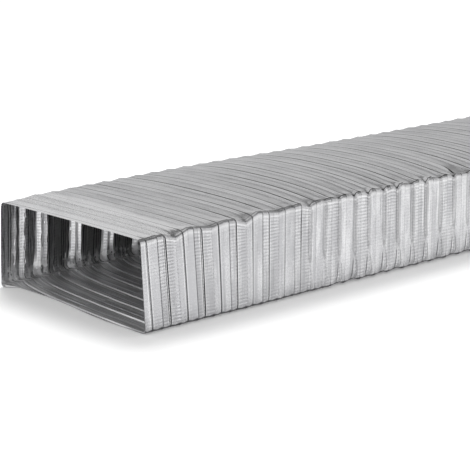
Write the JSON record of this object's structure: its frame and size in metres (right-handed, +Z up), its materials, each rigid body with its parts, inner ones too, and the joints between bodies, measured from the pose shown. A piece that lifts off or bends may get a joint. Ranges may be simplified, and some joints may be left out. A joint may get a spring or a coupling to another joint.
{
  "type": "rectangular flexible ventilation hose",
  "caption": "Rectangular flexible ventilation hose, spirally wound from folded and seam-locked aluminium strip, open at both ends, that carries air between flat-duct fittings.",
  "frame": {"origin": "middle of the underside, on the surface that the hose lies on", "axes": "+Z up, +Y along the hose away from its open front end, +X across the width"},
  "size_m": [0.22, 1, 0.096],
  "materials": {
    "aluminium_foil": "bare rolled aluminium foil, satin, with fine cross corrugation and crimped seams"
  },
  "bodies": {
    "root": {"hose_wall": "aluminium_foil"}
  },
  "joints": []
}
